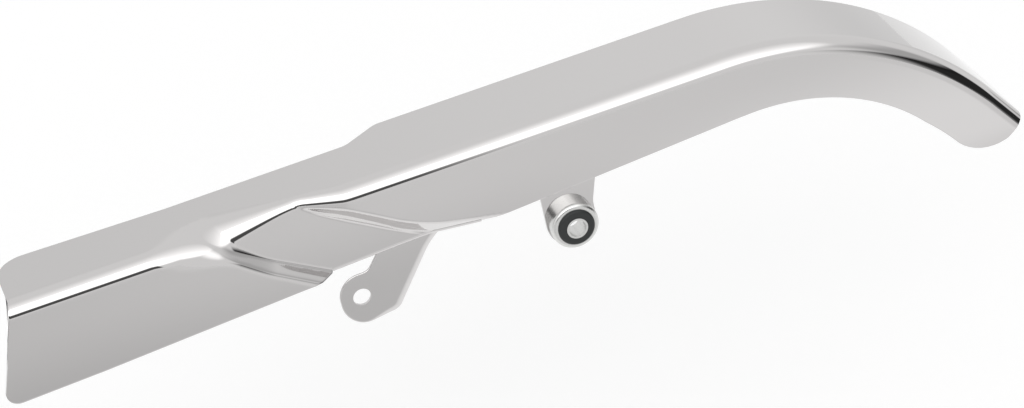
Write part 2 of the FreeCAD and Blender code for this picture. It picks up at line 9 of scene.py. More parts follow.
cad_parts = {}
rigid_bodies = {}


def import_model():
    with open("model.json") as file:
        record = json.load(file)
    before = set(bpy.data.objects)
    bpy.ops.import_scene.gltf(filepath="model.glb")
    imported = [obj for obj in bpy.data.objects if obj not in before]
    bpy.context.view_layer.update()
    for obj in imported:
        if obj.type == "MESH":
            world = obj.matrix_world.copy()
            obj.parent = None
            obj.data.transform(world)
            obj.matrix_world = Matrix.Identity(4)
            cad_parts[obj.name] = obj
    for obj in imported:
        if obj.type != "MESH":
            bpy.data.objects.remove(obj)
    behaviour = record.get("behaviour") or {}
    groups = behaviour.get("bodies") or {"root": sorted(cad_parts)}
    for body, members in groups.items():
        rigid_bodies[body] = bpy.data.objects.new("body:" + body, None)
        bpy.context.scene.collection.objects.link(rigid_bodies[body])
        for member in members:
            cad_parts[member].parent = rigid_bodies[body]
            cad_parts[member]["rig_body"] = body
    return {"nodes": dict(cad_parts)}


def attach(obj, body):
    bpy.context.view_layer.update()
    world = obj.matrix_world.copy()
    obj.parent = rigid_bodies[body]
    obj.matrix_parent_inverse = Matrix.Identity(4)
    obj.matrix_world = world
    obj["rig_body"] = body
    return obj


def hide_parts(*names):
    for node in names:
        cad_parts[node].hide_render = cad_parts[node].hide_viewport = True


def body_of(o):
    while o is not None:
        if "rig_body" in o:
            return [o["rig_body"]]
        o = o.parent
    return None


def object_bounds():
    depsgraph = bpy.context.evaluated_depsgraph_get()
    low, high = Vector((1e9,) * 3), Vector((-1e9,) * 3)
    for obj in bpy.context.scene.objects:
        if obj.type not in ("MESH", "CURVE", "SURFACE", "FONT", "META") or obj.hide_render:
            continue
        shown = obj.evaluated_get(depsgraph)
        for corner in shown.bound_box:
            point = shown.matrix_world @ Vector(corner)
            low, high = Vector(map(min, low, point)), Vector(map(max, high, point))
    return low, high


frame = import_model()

size_low, size_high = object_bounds()

# The frame's origin, measured from the front end of the guard's bend, in metres
BUSH = Vector((0.3117, -0.0016, -0.0671))


def at(x, y, z):
    """A point given in millimetres from the front end of the bend."""
    return Vector((x, y, z)) / 1000 - BUSH


# Node helpers
def link(tree, first, second):
    tree.links.new(first, second)


def combine(tree, operation, first, second=0.0):
    """One Math node; each value is a number or a socket."""
    node = tree.nodes.new("ShaderNodeMath")
    node.operation = operation
    for socket, value in zip(node.inputs, (first, second)):
        if isinstance(value, (int, float)):
            socket.default_value = value
        else:
            link(tree, value, socket)
    return node.outputs[0]


def mapped(tree, value, low=0.0, high=1.0, first=0.0, last=1.0, kind="SMOOTHSTEP"):
    """The value brought from the range low to high into the range first to last."""
    node = tree.nodes.new("ShaderNodeMapRange")
    node.interpolation_type = kind
    node.inputs["From Min"].default_value = low
    node.inputs["From Max"].default_value = high
    node.inputs["To Min"].default_value = first
    node.inputs["To Max"].default_value = last
    link(tree, value, node.inputs["Value"])
    return node.outputs["Result"]


def parts_of(tree, vector):
    """The X, Y and Z of a vector socket."""
    parts = tree.nodes.new("ShaderNodeSeparateXYZ")
    link(tree, vector, parts.inputs[0])
    return parts.outputs


def ray_kinds(tree):
    """Sockets that tell which kind of ray meets the surface."""
    return tree.nodes.new("ShaderNodeLightPath").outputs


def background_rays(tree):
    """1 for the rays that show the background, 0 for the rays that light things."""
    rays = ray_kinds(tree)
    mirrored = combine(tree, "MAXIMUM", rays["Is Glossy Ray"], rays["Is Transmission Ray"])
    return combine(tree, "MAXIMUM", rays["Is Camera Ray"], mirrored)


# Materials
def principled(name):
    """A new material, its node tree and its shader."""
    material = bpy.data.materials.new(name)
    material.use_nodes = True
    tree = material.node_tree
    shader = tree.nodes["Principled BSDF"]
    return material, tree, shader


def noise(tree, scale, detail):
    """Noise from 0 to 1 that is fixed to the object."""
    place = tree.nodes.new("ShaderNodeTexCoord")
    texture = tree.nodes.new("ShaderNodeTexNoise")
    texture.inputs["Scale"].default_value = scale
    texture.inputs["Detail"].default_value = detail
    link(tree, place.outputs["Object"], texture.inputs["Vector"])
    return texture.outputs["Fac"]


def uneven_gloss(tree, shader, scale, detail, low, high):
    """Roughness that wanders between low and high over the surface."""
    rough = mapped(tree, noise(tree, scale, detail), first=low, last=high, kind="LINEAR")
    link(tree, rough, shader.inputs["Roughness"])


def chrome_material():
    material, tree, shader = principled("polished_chrome")
    shader.inputs["Base Color"].default_value = (0.574, 0.562, 0.559, 1)
    shader.inputs["Metallic"].default_value = 1
    uneven_gloss(tree, shader, scale=60, detail=3, low=0.035, high=0.065)
    bump = tree.nodes.new("ShaderNodeBump")
    bump.inputs["Strength"].default_value = 0.02
    bump.inputs["Distance"].default_value = 0.0004
    link(tree, noise(tree, scale=45, detail=2), bump.inputs["Height"])
    link(tree, bump.outputs["Normal"], shader.inputs["Normal"])
    return material


def rubber_material():
    material, tree, shader = principled("black_rubber")
    shader.inputs["Base Color"].default_value = (0.012, 0.014, 0.014, 1)
    uneven_gloss(tree, shader, scale=900, detail=4, low=0.42, high=0.6)
    return material


def steel_material():
    material, tree, shader = principled("brushed_steel")
    shader.inputs["Base Color"].default_value = (0.62, 0.62, 0.61, 1)
    shader.inputs["Metallic"].default_value = 1
    uneven_gloss(tree, shader, scale=80, detail=2, low=0.22, high=0.27)
    return material


def dress(node, material):
    """Give a node of the frame one material all over."""
    mesh = frame["nodes"][node].data
    mesh.materials.clear()
    mesh.materials.append(material)


chrome = chrome_material()
steel = steel_material()
dress("guard_shell", chrome)
dress("rear_ear", chrome)
dress("bush_collar", steel)
dress("rubber_bush", rubber_material())
dress("bush_sleeve", steel)

# Pressed sheet, in millimetres from the front end of the bend: X rearward, Y inboard, Z up
SHEET = 1.9
BEND_R = 10

# Rear curve of the top plate
CURVE_START = 413
CURVE_R = 199
CURVE_TURN = math.radians(54)
TAIL_RUN = 25.6
END = CURVE_START + CURVE_R * CURVE_TURN + TAIL_RUN

# Ledge: the top plate flows down into it, and its fold meets the front skirt
FOLD_TURN = math.radians(33.4)
FOLD = 48.6
FOLD_BOW = 2.6
BOW_STRETCH = (105, 140)
FOLD_R = 1.9
FOLD_R_STRETCH = (84, 118)
LEDGE_RUN = 0.72
LEDGE_TOP_R = 10.5
PLAIN_FRONT = 60
PLAIN_REAR = 275

# Facet: the sunken face behind the fold, with a tapering roll along its top
FACET_X = 111
FACET_DEPTH = 6.6
FACET_SLOPE = 0.025
FACET_BEFORE = 30
FACET_BEHIND = 104
ROLL_R = 6.2
ROLL_TAPER = 0.31
ROLL_TIP_X = 158
ROLL_BLEND = 60
VALLEY_R = 0.9
VALLEY_TOP_R = 3.2
VALLEY_STRETCH = (106, 134)

# Ramp back to full width
RAMP_X = 190
RAMP_SLOPE = 7.6 / 22
RAMP_BLEND = 10
RAMP_R_LOSS = 0.46
RAMP_R_REACH = 12

# Stepped wall and its narrow land; both steps lean at 45 degrees
DIAGONAL = math.sqrt(2)
WALL = 94.9
WALL_R = 0.8
WALL_FOOT_TURN = math.radians(13.4)
WALL_FOOT = 17.0
WALL_FOOT_R = 4
LAND_WIDTH = 2.0
LAND_NARROWS = (150, 240)
LAND_STEP = 2.2
LAND_RISES = (168, 192)
LAND_FADES = (205, 232)
LAND_R = 0.7
LAND_HOLLOW_R = 0.01
LAND_HOLLOW_GROWTH = 0.32

# Outline of the skirt's lower edge
FRONT_X = 1.6
FRONT_UPRIGHT = 2.5
FRONT_LEAN = math.tan(math.radians(18.6))
FRONT_LOW = 59.9
FRONT_LOW_R = 7
FRONT_DONE = 40
FACET_LOW_X = 155.6
FACET_LOW = 51.4
ROLLED_X = 174.5
ROLLED_END_X = 262
ROLLED_DROP = 0.9
JUMP = 0.2
LIP_R = 2.4
HEM_X = 485.9
HEM_LOW = 34.7
HEM_SLOPE = math.tan(math.radians(3.47))
HEM_R = 130
HEM_EASE = 0.3
TONGUE_X = 567.2
TONGUE_LOW = 128.2
TONGUE_R = 28
TAIL_LINE_X = 514.4
TAIL_LINE = 127

# Outline of the top plate's inboard edge: place along the guard and width there
PLATE_CORNERS = ((-20, 49.9), (100, 45.8), (205.5, 47.2), (226, 59.2), (700, 62.9))
PLATE_EASE = 2.6
PLATE_EASE_STEPS = 11
PLATE_CORNER_R = 17

# Bolt tab: its outline runs from the neck round the nose and the low end back to the throat
TAB_Y = 12.5
TAB_TOP_X = 232
TAB_TOP = 46.6
TAB_NECK_X = 202.1
TAB_NECK = 51.2
TAB_NECK_R = 6.6
TAB_NOSE_X = 194.5
TAB_NOSE = 60.7
TAB_NOSE_R = 13.2
TAB_FRONT_X = 175.4
TAB_LOW = 93.3
TAB_LOW_R = 16
TAB_REAR_X = 207.8
TAB_REAR_R = 8
TAB_THROAT_X = 239.1
TAB_THROAT = 50.7
TAB_THROAT_R = 40
TAB_END_LOW = 46.1
TAB_END_TOP = 42
TAB_MIDDLE = (210, -65)
TAB_EDGE_R = 0.8
TAB_ROLL = 6
TAB_ROLL_STRETCH = (183, 208)
TAB_ROLL_SIDE = (-0.2, 0.6)
TAB_LEAST_R = 0.05
HOLE_X = 187.9
HOLE_Z = -75.4
HOLE_R = 5.2

# Rays that find the sheet start on a line inside it, with a fan round the bend
FAN = 22
CORE = 14
REACH = 12.0
HALVINGS = 22
QUARTER = math.pi / 2

# Rows of the sheet's mesh along the guard: start, end and count of each stretch
FRONT_ROWS = (21, 68, 20)
MIDDLE_ROWS = (ROLLED_END_X + 0.05, 410, 40)
CURVE_ROWS = (CURVE_START, END - 25, 80)
CORNER_ROWS = 16
TAIL_ROWS = 30
TAIL_ROWS_REACH = 24
FACET_ROWS_START = 70
FACET_ROW_STEP = 0.9

# Points across the sheet, along its rolled edges and round the tab
SKIRT_COLUMNS = 90
PLATE_COLUMNS = 25
PLATE_COLUMNS_EASE = 1.25
DEPTH_REACH = 60
DEPTH_STEPS = 900
ARC_POINTS = 13
LIP_POINTS = 9
TAB_ROLL_POINTS = 11
TAB_POINTS = 360
HOLE_POINTS = 72


# Pressed form, as a field that is 0 on its surface
def round_max(first, second, radius):
    """The larger of two fields, with a rounded edge where they meet."""
    a = np.maximum(first + radius, 0)
    b = np.maximum(second + radius, 0)
    return np.where((a > 0) & (b > 0), np.hypot(a, b) - radius, np.maximum(first, second))


def round_min(first, second, radius):
    """The smaller of two fields, with a rounded hollow where they meet."""
    return -round_max(-first, -second, radius)


def ramp(value, low, high):
    """0 below low, 1 above high and smooth between them."""
    part = np.clip((value - low) / (high - low), 0, 1)
    return part * part * (3 - 2 * part)


def eased(value, blend):
    """The value where it is above 0 and 0 below, with a soft turn between."""
    return (value + np.sqrt(value ** 2 + blend)) / 2


def front_form(along, across, x, y, z):
    """The front part: the top plate flows down into the ledge, and the skirt cuts both."""
    fold = FOLD + FOLD_BOW * (1 - ramp(along, *BOW_STRETCH))
    ledge = (across - fold - LEDGE_RUN * y) / math.hypot(1, LEDGE_RUN)
    top = round_max(z, ledge, LEDGE_TOP_R)
    radius = FOLD_R + (BEND_R - FOLD_R) * (1 - ramp(along, *FOLD_R_STRETCH))
    return np.where(x < PLAIN_FRONT, round_max(z, -y, BEND_R), round_max(top, -y, radius))


def rear_form(across, x, y, z):
    """The rear part: the ramp back to full width, ended by the wall and its foot."""
    setback = RAMP_SLOPE * eased(RAMP_X - x, RAMP_BLEND)
    bend = BEND_R - RAMP_R_LOSS * np.minimum(setback, RAMP_R_REACH)
    behind = round_max(z, setback - y, bend)
    wall = (WALL - y - across) / DIAGONAL
    foot_line = x * math.sin(WALL_FOOT_TURN) + z * math.cos(WALL_FOOT_TURN)
    foot = (WALL_FOOT - y - foot_line) / DIAGONAL
    return round_max(behind, round_max(wall, foot, WALL_FOOT_R), WALL_R)


def facet_form(across, x, y, z):
    """The sunken face, with the land that stands a step out of it along the wall."""
    face = FACET_DEPTH + np.clip(x - FACET_X, -FACET_BEFORE, FACET_BEHIND) * FACET_SLOPE
    roll = ROLL_R + ROLL_TAPER * eased(ROLL_TIP_X - x, ROLL_BLEND)
    facet = round_max(z, face - y, roll)
    raised = LAND_STEP * ramp(x, *LAND_RISES) * (1 - ramp(x, *LAND_FADES))
    land = round_max(z, face - raised - y, roll)
    width = LAND_WIDTH * (1 - ramp(x, *LAND_NARROWS))
    step = (WALL - width - y - across) / DIAGONAL
    land = round_max(land, step, LAND_R)
    return round_min(land, facet, LAND_HOLLOW_R + LAND_HOLLOW_GROWTH * raised)


def pressed(x, y, z):
    """How far a point lies outside the pressed form; negative inside it."""
    along = x * math.cos(FOLD_TURN) - z * math.sin(FOLD_TURN)
    across = x * math.sin(FOLD_TURN) + z * math.cos(FOLD_TURN)
    inner = round_min(rear_form(across, x, y, z), facet_form(across, x, y, z), WALL_R)
    valley = VALLEY_R + (VALLEY_TOP_R - VALLEY_R) * (1 - ramp(along, *VALLEY_STRETCH))
    hollow = round_min(front_form(along, across, x, y, z), inner, valley)
    hollow = np.maximum(hollow, np.maximum(z, -y))
    return np.where(x < PLAIN_REAR, hollow, round_max(z, -y, BEND_R))


def search_lines(t):
    """Start and direction of the rays, from the top plate (t above 0) to the skirt."""
    turn = np.clip(-t / FAN, 0, 1) * QUARTER
    start = (CORE + np.maximum(t, 0), np.minimum(t + FAN, 0) - CORE)
    return start, (-np.sin(turn), np.cos(turn))


def surface(x, t, depth):
    """Points of the form's surface, or of the one that lies a depth inside it."""
    (y, z), (step_y, step_z) = search_lines(t)
    near = np.zeros_like(t)
    far = np.full_like(t, CORE + REACH)
    for _ in range(HALVINGS):
        middle = (near + far) / 2
        inside = pressed(x, y + middle * step_y, z + middle * step_z) < -depth
        near = np.where(inside, middle, near)
        far = np.where(inside, far, middle)
    return y + near * step_y, z + near * step_z


def slopes(x, y, z):
    """Direction in which the field grows, which is the surface's outward normal."""
    gap = 0.04
    normal = np.stack([
        pressed(x + gap, y, z) - pressed(x - gap, y, z),
        pressed(x, y + gap, z) - pressed(x, y - gap, z),
        pressed(x, y, z + gap) - pressed(x, y, z - gap),
    ], axis=-1)
    return normal / np.linalg.norm(normal, axis=-1, keepdims=True)


# Rear curve and outlines
def bend_down(x, z):
    """Turn of the rear curve at a place along the guard, and the point there."""
    turn = np.clip((x - CURVE_START) / CURVE_R, 0, CURVE_TURN)
    beyond = x - CURVE_START - turn * CURVE_R
    reach = CURVE_R + z
    new_x = CURVE_START + reach * np.sin(turn) + beyond * np.cos(turn)
    new_z = reach * np.cos(turn) - CURVE_R - beyond * np.sin(turn)
    flat = x < CURVE_START
    return turn, np.where(flat, x, new_x), np.where(flat, z, new_z)


def unbend(x, z):
    """The reverse of bend_down: place along the guard and depth below the top plate."""
    turn = np.arctan2(x - CURVE_START, z + CURVE_R)
    far = turn > CURVE_TURN
    turn = np.clip(turn, 0, CURVE_TURN)
    right = (x - CURVE_START) * np.cos(turn) - (z + CURVE_R) * np.sin(turn)
    out = (x - CURVE_START) * np.sin(turn) + (z + CURVE_R) * np.cos(turn)
    along = CURVE_START + CURVE_R * turn + np.where(far, right, 0)
    flat = x < CURVE_START
    return np.where(flat, x, along), np.where(flat, z, out - CURVE_R)


def rounded(corners):
    """A line through corners (x, z, radius), with an arc at each corner that has a radius."""
    points = [corners[0][:2]]
    for before, corner, after in zip(corners, corners[1:], corners[2:]):
        here = np.array(corner[:2], float)
        radius = corner[2] if len(corner) > 2 else 0
        if radius == 0:
            points.append(tuple(here))
            continue
        one = np.array(before[:2]) - here
        two = np.array(after[:2]) - here
        one /= np.linalg.norm(one)
        two /= np.linalg.norm(two)
        half = math.acos(np.clip(one @ two, -1, 1)) / 2
        centre = here + (one + two) / np.linalg.norm(one + two) * radius / math.sin(half)
        first = here + one * radius / math.tan(half) - centre
        last = here + two * radius / math.tan(half) - centre
        sweep = math.pi - 2 * half
        for part in np.linspace(0, 1, ARC_POINTS):
            leave = math.sin((1 - part) * sweep) * first
            arrive = math.sin(part * sweep) * last
            points.append(tuple(centre + (leave + arrive) / math.sin(sweep)))
    points.append(corners[-1][:2])
    return np.array(points)


def front_edge(z):
    """Where the skirt's leaning front edge lies at a height."""
    return FRONT_X - np.maximum(-z - FRONT_UPRIGHT, 0) * FRONT_LEAN


def station(x, z):
    """Place along the guard, counted so that the leaning front edge is one place."""
    edge = front_edge(z)
    part = (x - edge) / (FRONT_DONE - edge)
    return np.where(x < FRONT_DONE, FRONT_X + part * (FRONT_DONE - FRONT_X), x)


def from_station(place, z):
    """The reverse of station."""
    edge = front_edge(z)
    part = (place - FRONT_X) / (FRONT_DONE - FRONT_X)
    return np.where(place < FRONT_DONE, edge + part * (FRONT_DONE - edge), place)


def lower_edge():
    """Lower outline of the sheet: place along the guard against depth."""
    hem = -HEM_LOW - (HEM_X - ROLLED_END_X) * HEM_SLOPE
    slope = (hem + FACET_LOW) / (ROLLED_END_X - FACET_LOW_X)
    before = ROLLED_X - FACET_LOW_X
    lift = LIP_R - ROLLED_DROP
    line = rounded([
        (FRONT_X, -FRONT_UPRIGHT),
        (front_edge(-FRONT_LOW), -FRONT_LOW, FRONT_LOW_R),
        (FACET_LOW_X, -FACET_LOW),
        (ROLLED_X, -FACET_LOW + slope * before),
        (ROLLED_X + JUMP, -FACET_LOW + slope * (before + JUMP) + lift),
        (ROLLED_END_X - JUMP, hem + lift),
        (ROLLED_END_X, hem),
        (HEM_X, -HEM_LOW, HEM_R),
        (TONGUE_X, -TONGUE_LOW, TONGUE_R),
        (TAIL_LINE_X + TAIL_LINE * math.cos(CURVE_TURN), -TAIL_LINE * math.sin(CURVE_TURN)),
    ])
    place, depth = unbend(line[:, 0], line[:, 1])
    place = station(place, depth)

    # A tiny rise keeps the places in order where the outline goes straight down
    rise = 1e-6
    order = np.maximum.accumulate(place)
    return order + np.arange(len(order)) * rise, depth


def inboard_edge(x):
    """Distance of the top plate's inboard edge from the skirt's face."""
    corners_x, corners_y = zip(*PLATE_CORNERS)
    shifts = np.linspace(-PLATE_EASE, PLATE_EASE, PLATE_EASE_STEPS)
    width = np.mean([np.interp(x + shift, corners_x, corners_y) for shift in shifts], axis=0)
    into = np.clip(FRONT_X + PLATE_CORNER_R - x, 0, PLATE_CORNER_R)
    return width - PLATE_CORNER_R + np.sqrt(PLATE_CORNER_R ** 2 - into ** 2)


# Meshes
def grid():
    """Places along and across the sheet, both as one table of rows by columns."""
    opening = np.linspace(0, 1, CORNER_ROWS) * QUARTER
    corner = FRONT_X + PLATE_CORNER_R * (1 - np.cos(opening))
    front = np.linspace(*FRONT_ROWS)
    facet = np.arange(FACET_ROWS_START, ROLLED_END_X, FACET_ROW_STEP)
    middle = np.linspace(*MIDDLE_ROWS)
    curve = np.linspace(*CURVE_ROWS)
    closing = np.linspace(0, 1, TAIL_ROWS) * QUARTER
    tail = END - TAIL_ROWS_REACH * (1 - np.sin(closing))
    places = np.concatenate([corner, front, facet, middle, curve, tail])

    # How far each row reaches down the skirt and in over the top plate
    edge_place, edge_depth = lower_edge()
    low = np.interp(places, edge_place, edge_depth)
    table = np.linspace(-FAN - CORE - DEPTH_REACH, 0, DEPTH_STEPS)
    _, table_z = surface(np.full_like(table, CURVE_START), table, 0)
    low_t = np.interp(low, table_z, table)
    _, real_x, _ = bend_down(places, 0 * places)
    high_t = inboard_edge(real_x) - CORE

    below = np.linspace(1, 0, SKIRT_COLUMNS)
    above = np.linspace(0, 1, PLATE_COLUMNS + 1)[1:] ** PLATE_COLUMNS_EASE
    t = np.concatenate([low_t[:, None] * below, high_t[:, None] * above], axis=1)
    return np.repeat(places[:, None], t.shape[1], axis=1), t


def skin(places, t, depth):
    """Points and normals of the outer face (depth 0) or the inner one."""
    y, z = surface(places, t, depth)
    x = from_station(places, z)
    for _ in range(2):
        y, z = surface(x, t, depth)
        x = from_station(places, z)
    normal = slopes(x, y, z)
    turn, new_x, new_z = bend_down(x, z)
    points = np.stack([new_x, y, new_z], axis=-1)
    turned = np.stack([
        normal[..., 0] * np.cos(turn) + normal[..., 2] * np.sin(turn),
        normal[..., 1],
        normal[..., 2] * np.cos(turn) - normal[..., 0] * np.sin(turn),
    ], axis=-1)
    return points, turned


class Build:
    """Gathers grids of points into one mesh that keeps its own normals."""

    def __init__(self):
        self.points = []
        self.faces = []
        self.normals = []
        self.count = 0

    def add_faces(self, points, normals, faces):
        """Points, a normal for each of them and faces that name them by number."""
        self.points.append(points)
        self.normals.append(normals)
        self.faces.append(faces + self.count)
        self.count += len(points)

    def add(self, points, normals, closed=False):
        """A grid of points; its faces are turned the way its normals point."""
        rows, columns = points.shape[:2]
        number = np.arange(rows * columns).reshape(rows, columns)
        if closed:
            number = np.concatenate([number, number[:1]], axis=0)
        corners = [number[:-1, :-1], number[1:, :-1], number[1:, 1:], number[:-1, 1:]]
        quads = np.stack(corners, axis=-1).reshape(-1, 4)
        points = points.reshape(-1, 3)
        normals = normals.reshape(-1, 3)
        spots = points[quads]
        facing = np.cross(spots[:, 2] - spots[:, 0], spots[:, 3] - spots[:, 1])
        against = np.sum(facing * normals[quads].sum(axis=1), axis=1) < 0
        quads[against] = quads[against][:, ::-1]
        self.add_faces(points, normals, quads)

    def rim(self, outer, inner, away, closed=False):
        """The cut edge of the sheet between two lines of points."""
        points = np.stack([outer, inner], axis=1)
        normals = np.repeat(away[:, None, :], 2, axis=1)
        self.add(points, normals, closed)

    def make(self, name):
        """The mesh as an object, in metres and at its place in the frame."""
        points = np.concatenate(self.points) / 1000 - np.array(BUSH)
        faces = [face for part in self.faces for face in part.tolist()]
        mesh = bpy.data.meshes.new(name)
        mesh.from_pydata(points.tolist(), [], faces)
        for polygon in mesh.polygons:
            polygon.use_smooth = True
        mesh.normals_split_custom_set_from_vertices(np.concatenate(self.normals).tolist())
        mesh.update()
        piece = bpy.data.objects.new(name, mesh)
        bpy.context.collection.objects.link(piece)
        return piece


def outward(line, normals, ahead):
    """Normals of a cut edge: square to its line and to the sheet's normals."""
    run = np.gradient(line, axis=0)
    away = np.cross(run, normals)
    away *= np.sign(np.sum(away * np.array(ahead, float), axis=-1, keepdims=True))
    return away / (np.linalg.norm(away, axis=-1, keepdims=True) + 1e-12)


def rolled_lip(build, start):
    """Rolled lower edge behind the facet: a quarter turn inboard under the skirt."""
    angle = np.linspace(0, QUARTER, LIP_POINTS)
    one = np.ones((len(start), 1))
    normal = np.stack([0 * one * angle, -one * np.cos(angle), -one * np.sin(angle)], axis=-1)
    centre = start[:, None, :] + np.array([0, LIP_R, 0])
    lip = centre + LIP_R * normal
    inside = centre + (LIP_R - SHEET) * normal
    build.add(lip, normal)
    build.add(inside, -normal)
    build.rim(lip[:, -1], inside[:, -1], one * (0.0, 1.0, 0.0))
    build.rim(lip[0], inside[0], np.ones((LIP_POINTS, 1)) * (-1.0, 0.0, 0.0))


def sheet():
    """The pressed sheet: two skins, the rims between them and the rolled lip."""
    build = Build()
    places, t = grid()
    outer, outer_normal = skin(places, t, 0)
    inner, inner_normal = skin(places, t, SHEET)
    build.add(inner, -inner_normal)
    edges = {
        "hem": (np.s_[:, 0], (0, 0, -1)),
        "inboard": (np.s_[:, -1], (0, 1, 0)),
        "front": (np.s_[0, :], (-1, 0, 0)),
        "rear": (np.s_[-1, :], (1, 0, -1)),
    }
    for where, ahead in edges.values():
        away = outward(outer[where], outer_normal[where], ahead)
        build.rim(outer[where], inner[where], away)

    # The hem's outer corner is eased, so it catches the light
    where, ahead = edges["hem"]
    hem = outer_normal[where] + HEM_EASE * outward(outer[where], outer_normal[where], ahead)
    outer_normal[where] = hem / np.linalg.norm(hem, axis=1, keepdims=True)
    build.add(outer, outer_normal)

    rolled = (places[:, 0] > ROLLED_X + JUMP / 2) & (places[:, 0] < ROLLED_END_X)
    rolled_lip(build, outer[rolled, 0])
    return build


def tab_outline():
    """Points along the tab's outline, and the direction that leads out of it at each."""
    line = rounded([
        (TAB_TOP_X, -TAB_TOP),
        (TAB_NECK_X, -TAB_NECK),
        (TAB_NOSE_X, -TAB_NOSE, TAB_NECK_R),
        (TAB_FRONT_X, -TAB_NOSE, TAB_NOSE_R),
        (TAB_FRONT_X, -TAB_LOW, TAB_LOW_R),
        (TAB_REAR_X, -TAB_LOW, TAB_REAR_R),
        (TAB_THROAT_X, -TAB_THROAT, TAB_THROAT_R),
        (ROLLED_END_X, -TAB_END_LOW),
        (ROLLED_END_X, -TAB_END_TOP),
        (TAB_TOP_X, -TAB_TOP),
    ])
    run = np.concatenate([[0], np.cumsum(np.linalg.norm(np.diff(line, axis=0), axis=1))])
    places = np.linspace(0, run[-1], TAB_POINTS + 1)[:-1]
    x = np.interp(places, run, line[:, 0])
    z = np.interp(places, run, line[:, 1])
    spot = np.stack([x, z], axis=1)
    ahead = np.roll(spot, -2, axis=0) - np.roll(spot, 2, axis=0)
    ahead /= np.linalg.norm(ahead, axis=1, keepdims=True)
    out = np.stack([-ahead[:, 1], ahead[:, 0]], axis=1)
    if np.sum(out * (spot - TAB_MIDDLE)) < 0:
        out = -out
    return x, z, out


def rolled_edge(x, z, out, back, radius, angle):
    """A quarter round along the outline, a distance back from the tab's outer skin."""
    inward = back + radius * (1 - np.cos(angle))
    edge_x = x[:, None] - out[:, :1] * inward
    edge_y = TAB_Y + back + radius * (1 - np.sin(angle))
    edge_z = z[:, None] - out[:, 1:] * inward
    return np.stack([edge_x, edge_y, edge_z], axis=-1)


def flat_face(build, border, hole, facing):
    """The flat part of a skin, between the end of the rolled edge and the hole."""
    loops = np.concatenate([border[:, (0, 2)], hole[:, (0, 2)]])
    flat = [Vector(point) for point in loops.tolist()]
    count = len(border)
    sides = [(i, (i + 1) % count) for i in range(count)]
    sides += [(count + i, count + (i + 1) % HOLE_POINTS) for i in range(HOLE_POINTS)]
    only_inside = 2
    tolerance = 1e-5
    spots, _, faces, *_ = delaunay_2d_cdt(flat, sides, [], only_inside, tolerance)
    spots = np.array([[spot.x, border[0, 1], spot.y] for spot in spots])
    faces = np.array([face for face in faces if len(face) == 3])

    # Faces with all three corners on the hole's edge would close the hole
    corners = spots[faces]
    reach = np.hypot(corners[..., 0] - HOLE_X, corners[..., 2] - HOLE_Z).max(axis=1)
    faces = faces[reach > 1.01 * HOLE_R]

    corners = spots[faces]
    across = np.cross(corners[:, 1] - corners[:, 0], corners[:, 2] - corners[:, 0])[:, 1]
    faces[across * facing < 0] = faces[across * facing < 0][:, ::-1]
    build.add_faces(spots, np.zeros_like(spots) + (0, facing, 0), faces)


def tab():
    """Bolt tab: a flat face around the hole, with its rear and lower edges rolled inboard."""
    build = Build()
    x, z, out = tab_outline()
    rolls = ramp(x, *TAB_ROLL_STRETCH) * ramp(out[:, 0] - out[:, 1], *TAB_ROLL_SIDE)
    radius = (TAB_EDGE_R + (TAB_ROLL - TAB_EDGE_R) * rolls)[:, None]
    inner_radius = np.maximum(radius - SHEET, TAB_LEAST_R)

    angle = np.linspace(0, QUARTER, TAB_ROLL_POINTS)
    edge = rolled_edge(x, z, out, 0, radius, angle)
    inside = rolled_edge(x, z, out, SHEET, inner_radius, angle)
    normal = np.stack([
        out[:, :1] * np.cos(angle),
        -np.sin(angle) + 0 * edge[..., 0],
        out[:, 1:] * np.cos(angle),
    ], axis=-1)
    build.add(edge, normal, closed=True)
    build.add(inside, -normal, closed=True)
    build.rim(edge[:, 0], inside[:, 0], np.zeros_like(edge[:, 0]) + (0, 1, 0), closed=True)

    turn = np.linspace(0, 2 * math.pi, HOLE_POINTS + 1)[:-1]
    spoke = np.stack([np.cos(turn), 0 * turn, np.sin(turn)], axis=1)
    hole = np.array([HOLE_X, TAB_Y, HOLE_Z]) + HOLE_R * spoke
    build.rim(hole, hole + (0, SHEET, 0), -spoke, closed=True)
    flat_face(build, edge[:, -1], hole, -1)
    flat_face(build, inside[:, -1], hole, 1)
    return build


def shown(build, name):
    """Put a built mesh in the place of the shell's solid."""
    piece = build.make(name)
    piece.data.materials.append(chrome)
    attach(piece, body_of(frame["nodes"]["guard_shell"])[0])
    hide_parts("guard_shell")


shown(sheet(), "pressed_sheet")
shown(tab(), "bolt_tab")

# Floor, in metres
FLOOR_DROP = 0.2
FLOOR_LEFT = -6
FLOOR_RIGHT = 1.3
FLOOR_FRONT = -2.2
FLOOR_BACK = 8
bpy.ops.mesh.primitive_plane_add(size=1)
floor = bpy.context.object
floor.name = "floor"
floor.location = (
    (FLOOR_LEFT + FLOOR_RIGHT) / 2,
    (FLOOR_FRONT + FLOOR_BACK) / 2,
    size_low.z - FLOOR_DROP,
)
floor.scale = (FLOOR_RIGHT - FLOOR_LEFT, FLOOR_BACK - FLOOR_FRONT, 1)

# Light that the floor adds for the rays that show it, and for the camera alone
FLOOR_LIFT = 0.25
WHITE_LIFT = 0.04

# Zones of the floor that the chrome mirrors: the metres over which each side fades
UNDER_FRONT = (-0.3, -0.08)
UNDER_BACK = (0.2, 0.4)
FAR_FRONT = (0.3, 0.5)
HORIZON = (2.05, 2.15)
NEAR_FRONT = (-0.5, -0.36)
NEAR_BACK = (-0.33, -0.28)
NEAR_ACROSS = (0.02, 0.3)
LEFT_ACROSS = (-0.35, 0.05)

# How much lighter or darker the zones are
UNDER_GLOW = 0.22
FAR_GLOW = 0.04
HORIZON_SHADE = -0.15
NEAR_LEFT_SHADE = -0.17
NEAR_RIGHT_GLOW = 0.2
LEFT_SHADE = -0.14
LEFT_END_SHADE = -0.02


